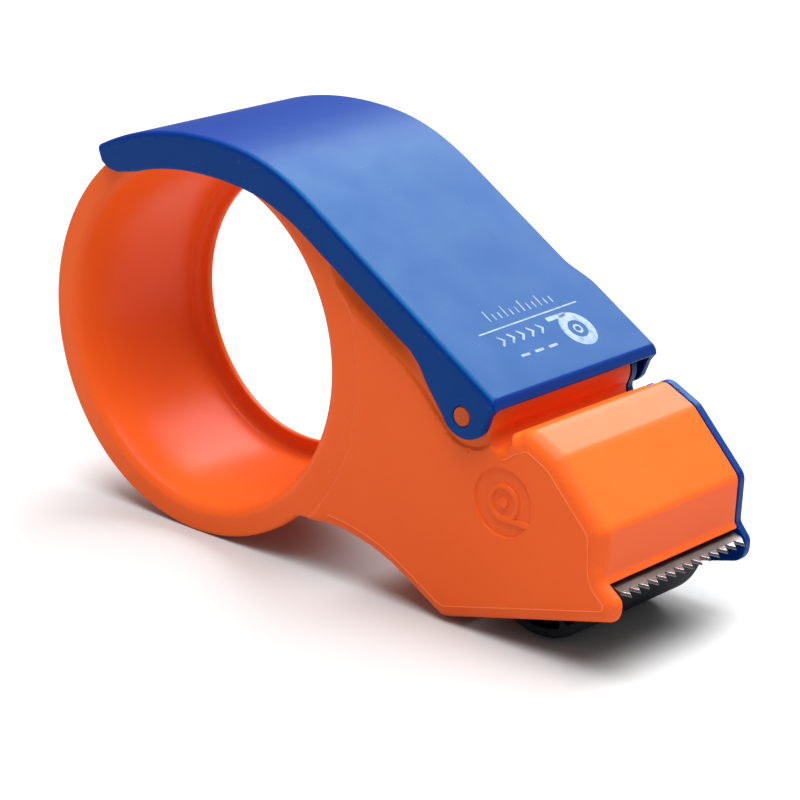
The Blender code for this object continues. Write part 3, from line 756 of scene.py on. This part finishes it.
def guide_field(x, y, z):
    """Ribbed roller: the tape touches only its ribs."""
    radius = round_of(GUIDE, x, z)
    pitch = (GUIDE_Y[1] - GUIDE_Y[0] - RIB_WIDTH) / GUIDE_RIBS
    half = (pitch - RIB_WIDTH) / 2
    along = (y - GUIDE_Y[0] - RIB_WIDTH) % pitch
    groove = np.maximum(np.abs(along - half) - half, GUIDE_R - RIB_HEIGHT - radius)
    groove = np.maximum(groove, slab(y, GUIDE_Y[0] + RIB_WIDTH, GUIDE_Y[1] - 0.2))
    roller = soft_cut(soft_max(radius - GUIDE_R, slab(y, *GUIDE_Y), 0.4), groove, 0.3)
    return soft_cut(roller, radius - GUIDE_AXLE_R - 0.1, 0.2)


def make_guide_roller(material):
    low = (GUIDE[0] - GUIDE_R, GUIDE_Y[0], GUIDE[1] - GUIDE_R)
    high = (GUIDE[0] + GUIDE_R, GUIDE_Y[1], GUIDE[1] + GUIDE_R)
    roller = solid("ribbed_roller", low, high, GUIDE_VOXEL, guide_field)
    fit_out(roller, material, "guide_wheel", "white_nylon", "guide_roller")


# Blade ---------------------------------------------------------------------------------------

def blade_field(x, y, z):
    """Toothed strip: a flange up the inside of the nose, bent forward under its lower edge. Each
    tooth is ground to an edge from above."""
    back_x = NOSE_FRONT[0] - 0.4 - FRONT_WALL - BLADE_T / 2
    root, tip = BLADE_ROOT, BLADE_TIP
    bend = [(back_x + forward, height) for forward, height in BLADE_BEND]
    path = [(back_x, BLADE_TOP_Z), *bend, root, tip]
    strip = path_field(path, x, z) - BLADE_T / 2
    depth = math.dist(root, tip)
    run = ((tip[0] - root[0]) / depth, (tip[1] - root[1]) / depth)
    along = (x - root[0]) * run[0] + (z - root[1]) * run[1]
    above = (z - root[1]) * run[0] - (x - root[0]) * run[1]
    wave = 1 - np.abs(2 * (((y - BLADE_Y0) / TOOTH_PITCH) % 1) - 1)
    lean = 1 / math.hypot(1, 2 * depth / TOOTH_PITCH)
    to_edge = (along - depth * wave) * lean
    ground = (above + BLADE_T / 2 + GRIND_SLOPE * to_edge - GRIND_LAND) * GRIND_SCALE
    strip = soft_max(strip, slab(y, BLADE_Y0, BLADE_Y0 + TEETH * TOOTH_PITCH), 0.1)
    return np.maximum(np.maximum(strip, to_edge), np.where(along > -GRIND_BACK, ground, -1))


def make_blade(material):
    low, high = (108.4, BLADE_Y0, -28.2), (116.9, BLADE_Y0 + TEETH * TOOTH_PITCH, -15.9)
    blade = solid("toothed_blade", low, high, BLADE_VOXEL, blade_field)
    fit_out(blade, material, "body", "blade_steel", "cutting_blade")


# Print on the lid ----------------------------------------------------------------------------

def ribbon(bm, path, width, closed, to_point, thick=0.05):
    """Thin raised band of even width along a flat path."""
    count = len(path)
    rims = []
    for k, point in enumerate(path):
        here = Vector(point)
        before = Vector(path[(k - 1) % count]) if closed or k else here
        after = Vector(path[(k + 1) % count]) if closed or k < count - 1 else here
        run = (after - before).normalized()
        legs = [leg.normalized() for leg in (here - before, after - here) if leg.length > 0]
        spread = max(0.5, math.cos(legs[0].angle(legs[-1]) / 2))
        side = Vector((-run.y, run.x)) * width / 2 / spread
        rims.append([
            bm.verts.new(to_point(*(here + side * sign), height))
            for sign, height in ((1, 0.0), (-1, 0.0), (-1, thick), (1, thick))
        ])
    for first, second in zip(rims, rims[1:] + (rims[:1] if closed else [])):
        for k in range(4):
            bm.faces.new((first[k - 1], first[k], second[k], second[k - 1]))
    if not closed:
        bm.faces.new(rims[0])
        bm.faces.new(rims[-1][::-1])


def on_slope(y, x, height):
    """Point on the lid's slope at this place across and forward, raised by a height."""
    run = (Vector(LID_FRONT) - Vector(SLOPE_TOP)).normalized()
    forward = (x - SLOPE_TOP[0]) / run.x
    point = Vector(SLOPE_TOP) + run * forward + Vector((-run.y, run.x)) * (height - 0.01)
    return place(point.x, y, point.y)


def sign_ring(radius, steps):
    """Closed path round the middle of the roll sign."""
    turns = [math.tau * k / steps for k in range(steps)]
    return [(SIGN[0] + radius * math.sin(turn), SIGN[1] + radius * SIGN_SQUASH * math.cos(turn))
            for turn in turns]


def make_print(material):
    """Generic white print: a rule, a tape-roll sign, ticks, arrows and dashes."""
    bands = [
        (RULE, 0.32, False), (sign_ring(SIGN_R, 48), 2.0, True),
        (sign_ring(SIGN_CORE_R, 24), 0.5, True), (SIGN_TAIL, 1.0, False),
    ]
    for k in range(TICKS):
        y, x = TICK_START[0] + TICK_PITCH * k, TICK_START[1]
        tall = SHORT_TICK if k % 3 else LONG_TICK
        bands.append(([(y, x), (y, x - tall)], 0.36, False))
    for k in range(ARROWS):
        y, x = ARROW_START[0] + ARROW_PITCH * k, ARROW_START[1]
        point = (y + ARROW_SIZE[0], x + ARROW_SIZE[1])
        bands.append(([(y, x), point, (y, x + 2 * ARROW_SIZE[1])], 0.5, False))
    for y in DASHES:
        bands.append(([(y - DASH_HALF, DASH_X), (y + DASH_HALF, DASH_X)], 0.6, False))
    bm = bmesh.new()
    for path, width, closed in bands:
        ribbon(bm, path, width, closed, on_slope)
    bmesh.ops.recalc_face_normals(bm, faces=bm.faces)
    fit_out(add_mesh("lid_print", bm), material, "lid", "white_nylon")


# Materials -----------------------------------------------------------------------------------

class Nodes:
    """Short calls that add nodes to one material."""

    def __init__(self, name):
        self.material = bpy.data.materials.new(name)
        self.material.use_nodes = True
        self.tree = self.material.node_tree
        self.shader = self.tree.nodes["Principled BSDF"]
        self.place = self.tree.nodes.new("ShaderNodeTexCoord").outputs["Object"]

    def link(self, source, target):
        self.tree.links.new(source, target)

    def noise(self, scale, detail=2.0, stretch=None):
        node = self.tree.nodes.new("ShaderNodeTexNoise")
        node.inputs["Scale"].default_value = scale
        node.inputs["Detail"].default_value = detail
        source = self.place
        if stretch:
            mapping = self.tree.nodes.new("ShaderNodeMapping")
            mapping.inputs["Scale"].default_value = stretch
            self.link(source, mapping.inputs["Vector"])
            source = mapping.outputs["Vector"]
        self.link(source, node.inputs["Vector"])
        return node.outputs["Fac"]

    def ramp(self, source, low, high, start, end):
        """Maps a value linearly from one range to another, held at both ends."""
        node = self.tree.nodes.new("ShaderNodeMapRange")
        for name, value in (("From Min", low), ("From Max", high), ("To Min", start), ("To Max", end)):
            node.inputs[name].default_value = value
        self.link(source, node.inputs["Value"])
        return node.outputs["Result"]

    def mix(self, factor, first, second):
        """Colour between two others, each a plain colour or another node's output."""
        node = self.tree.nodes.new("ShaderNodeMix")
        node.data_type = "RGBA"
        for socket, colour in ((node.inputs[6], first), (node.inputs[7], second)):
            if isinstance(colour, tuple):
                socket.default_value = (*colour, 1)
            else:
                self.link(colour, socket)
        self.link(factor, node.inputs[0])
        return node.outputs[2]

    def bump(self, height, distance, strength):
        node = self.tree.nodes.new("ShaderNodeBump")
        node.inputs["Distance"].default_value = distance
        node.inputs["Strength"].default_value = strength
        self.link(height, node.inputs["Height"])
        return node.outputs["Normal"]

    def set(self, **values):
        for name, value in values.items():
            self.shader.inputs[name.replace("_", " ")].default_value = value


def moulded_plastic(name, colour, deep, roughness, grain, specks, **settings):
    """Injection-moulded plastic: fine satin grain, faint flow marks, tiny specks and scuffs."""
    nodes = Nodes(name)
    flow = nodes.ramp(nodes.noise(35.0, 3.0), 0.35, 0.65, 0.0, 1.0)
    tone = nodes.mix(flow, colour, deep)
    dust = nodes.ramp(nodes.noise(1500.0, 1.0), 0.76, 0.80, 0.0, specks)
    pale = tuple(0.75 * channel + 0.25 for channel in colour)
    nodes.link(nodes.mix(dust, tone, pale), nodes.shader.inputs["Base Color"])
    fine = nodes.noise(2600.0, 2.0)
    scuff = nodes.ramp(nodes.noise(120.0, 4.0), 0.3, 0.7, -0.02, 0.03)
    rough = nodes.tree.nodes.new("ShaderNodeMath")
    rough.inputs[1].default_value = roughness
    nodes.link(scuff, rough.inputs[0])
    nodes.link(rough.outputs[0], nodes.shader.inputs["Roughness"])
    nodes.link(nodes.bump(fine, 0.00006, grain), nodes.shader.inputs["Normal"])
    nodes.set(**settings)
    return nodes.material


def brushed_nodes(name, colour, dark, roughness, stretch):
    """Steel with fine rolling lines along one direction and faint oxide blotches."""
    nodes = Nodes(name)
    lines = nodes.noise(900.0, 3.0, stretch)
    blotch = nodes.ramp(nodes.noise(180.0, 4.0), 0.35, 0.7, 0.0, 1.0)
    nodes.link(nodes.mix(blotch, colour, dark), nodes.shader.inputs["Base Color"])
    nodes.link(nodes.ramp(lines, 0.3, 0.7, roughness - 0.08, roughness + 0.12),
               nodes.shader.inputs["Roughness"])
    nodes.link(nodes.bump(lines, 0.00005, 0.35), nodes.shader.inputs["Normal"])
    nodes.set(Metallic=1.0)
    return nodes


def brushed_metal(*settings):
    return brushed_nodes(*settings).material


def ground_blade(name, colour, dark, roughness):
    """Dull rolled strip whose ground teeth are bright."""
    nodes = brushed_nodes(name, colour, dark, roughness, (1.0, 0.06, 1.0))
    split = nodes.tree.nodes.new("ShaderNodeSeparateXYZ")
    nodes.link(nodes.place, split.inputs[0])
    root_x = place(BLADE_ROOT[0], 0, 0).x
    teeth = nodes.ramp(split.outputs["X"], root_x - 0.0001, root_x + 0.0001, 0.0, 1.0)
    for socket, bright in (("Base Color", TOOTH_STEEL), ("Roughness", TOOTH_ROUGHNESS)):
        target = nodes.shader.inputs[socket]
        nodes.link(nodes.mix(teeth, target.links[0].from_socket, bright), target)
    return nodes.material


def printing_ink(name, colour, worn):
    """Thin print that has worn through in small spots."""
    nodes = Nodes(name)
    wear = nodes.ramp(nodes.noise(700.0, 3.0), 0.45, 0.7, 0.0, 1.0)
    nodes.link(nodes.mix(wear, colour, worn), nodes.shader.inputs["Base Color"])
    nodes.link(nodes.ramp(wear, 0.0, 1.0, 0.4, 0.6), nodes.shader.inputs["Roughness"])
    return nodes.material


# Stage ---------------------------------------------------------------------------------------

CAMERA_AT = Vector((0.40408, -0.47891, 0.25037))
CAMERA_FORWARD = Vector((-0.60817, 0.72371, -0.32614))
CAMERA_RIGHT = Vector((0.75642, 0.65295, 0.03838))
CAMERA_LENS = 135.7
LIGHT_TARGET = (0.04, 0.0, 0.04)
LIGHTS = (
    ("softbox_back", (-0.15, 0.85, 0.85), (0.8, 0.7), 13.0),
    ("softbox_top", (0.12, -0.04, 1.25), (1.2, 1.2), 34.0),
)
WORLD_STRENGTH = 0.28
FLOOR_TONES = ((0.52, 0.52, 0.52), (0.54, 0.54, 0.54))


def make_camera():
    camera = bpy.data.cameras.new("camera")
    camera.lens = CAMERA_LENS
    camera.sensor_width = 36.0
    camera.clip_start = 0.01
    obj = bpy.data.objects.new("camera", camera)
    bpy.context.scene.collection.objects.link(obj)
    back = -CAMERA_FORWARD.normalized()
    right = (CAMERA_RIGHT - back * CAMERA_RIGHT.dot(back)).normalized()
    up = back.cross(right)
    rows = Matrix((right, up, back)).transposed().to_4x4()
    obj.matrix_world = Matrix.Translation(CAMERA_AT) @ rows
    bpy.context.scene.camera = obj


def make_light(name, position, size, power):
    light = bpy.data.lights.new(name, "AREA")
    light.shape = "RECTANGLE"
    light.size, light.size_y = size
    light.energy = power
    obj = bpy.data.objects.new(name, light)
    bpy.context.scene.collection.objects.link(obj)
    direction = Vector(LIGHT_TARGET) - Vector(position)
    turn = direction.to_track_quat("-Z", "Y").to_matrix().to_4x4()
    obj.matrix_world = Matrix.Translation(position) @ turn


def make_stage():
    bm = bmesh.new()
    bmesh.ops.create_grid(bm, x_segments=1, y_segments=1, size=6.0)
    floor = add_mesh("floor", bm)
    nodes = Nodes("pale_floor")
    tone = nodes.ramp(nodes.noise(3.0, 2.0), 0.3, 0.7, 0.0, 1.0)
    nodes.link(nodes.mix(tone, *FLOOR_TONES), nodes.shader.inputs["Base Color"])
    nodes.set(Roughness=0.9)
    floor.data.materials.append(nodes.material)
    world = bpy.data.worlds.new("studio")
    world.use_nodes = True
    background = world.node_tree.nodes["Background"]
    background.inputs["Color"].default_value = (1, 1, 1, 1)
    background.inputs["Strength"].default_value = WORLD_STRENGTH
    scene = bpy.context.scene
    scene.world = world
    scene.view_settings.view_transform = "Standard"
    for light in LIGHTS:
        make_light(*light)


# Everything ----------------------------------------------------------------------------------

def make_materials():
    return {
        "orange": moulded_plastic(
            "orange_moulding", (0.84, 0.120, 0.017), (0.82, 0.111, 0.014), 0.30, 0.3, 0.3,
            Specular_IOR_Level=0.12, Specular_Tint=(1.0, 0.6, 1.0, 1.0)),
        # A lighter orange than the housing's, which paints a highlight along the raised edge line
        "edge": moulded_plastic(
            "edge_line_painted_highlight", (0.92, 0.22, 0.06), (0.90, 0.20, 0.05), 0.4, 0.2, 0.0,
            Specular_IOR_Level=0.15),
        # A darker, duller copy of the housing's orange, which paints shade onto the near hinge stub's
        # end
        "pin": moulded_plastic(
            "pin_painted_shade", (0.52, 0.078, 0.020), (0.47, 0.070, 0.018), 0.5, 0.4, 0.3,
            Specular_IOR_Level=0.1),
        "blue": moulded_plastic(
            "blue_moulding", (0.001, 0.015, 0.19), (0.001, 0.013, 0.18), 0.48, 0.3, 0.15,
            Specular_IOR_Level=0.35, Specular_Tint=(0.02, 1.0, 0.75, 1.0)),
        "black": moulded_plastic(
            "black_moulding", (0.005, 0.006, 0.009), (0.008, 0.009, 0.013), 0.55, 0.4, 0.1,
            Specular_IOR_Level=0.1),
        "white": moulded_plastic(
            "white_nylon", (0.74, 0.73, 0.69), (0.70, 0.69, 0.64), 0.5, 0.3, 0.1),
        "blade": ground_blade("blade_steel", (0.15, 0.125, 0.118), (0.10, 0.082, 0.077), 0.5),
        "bright": brushed_metal(
            "bright_steel", (0.68, 0.68, 0.69), (0.58, 0.58, 0.6), 0.24, (1.0, 0.2, 1.0)),
        "ink": printing_ink("white_ink", (0.15, 0.24, 0.33), (0.07, 0.15, 0.27)),
    }


def finish_cad_nodes(bright, white):
    """Materials of the CAD nodes that stay as they are."""
    blade_screws = ("blade_screw_1", "blade_screw_2", "blade_screw_3")
    for names, material in (
        (("blade_clamp", *blade_screws, "press_axle", "guide_axle"), bright),
        (("washer_near", "washer_far"), white),
    ):
        for name in names:
            for slot in frame["nodes"][name].material_slots:
                slot.material = material


def main():
    """Makes the stage and every piece."""
    finish = make_materials()
    make_camera()
    make_stage()
    make_main_body(finish["orange"])
    make_edge_line(finish["edge"])
    make_pins(finish["pin"], finish["blue"])
    make_top_lid(finish["blue"])
    make_side_cover(finish["blue"])
    make_cover_screws(finish["bright"])
    make_press_roller(finish["black"])
    make_guide_roller(finish["white"])
    make_blade(finish["blade"])
    make_print(finish["ink"])
    finish_cad_nodes(finish["bright"], finish["white"])


main()
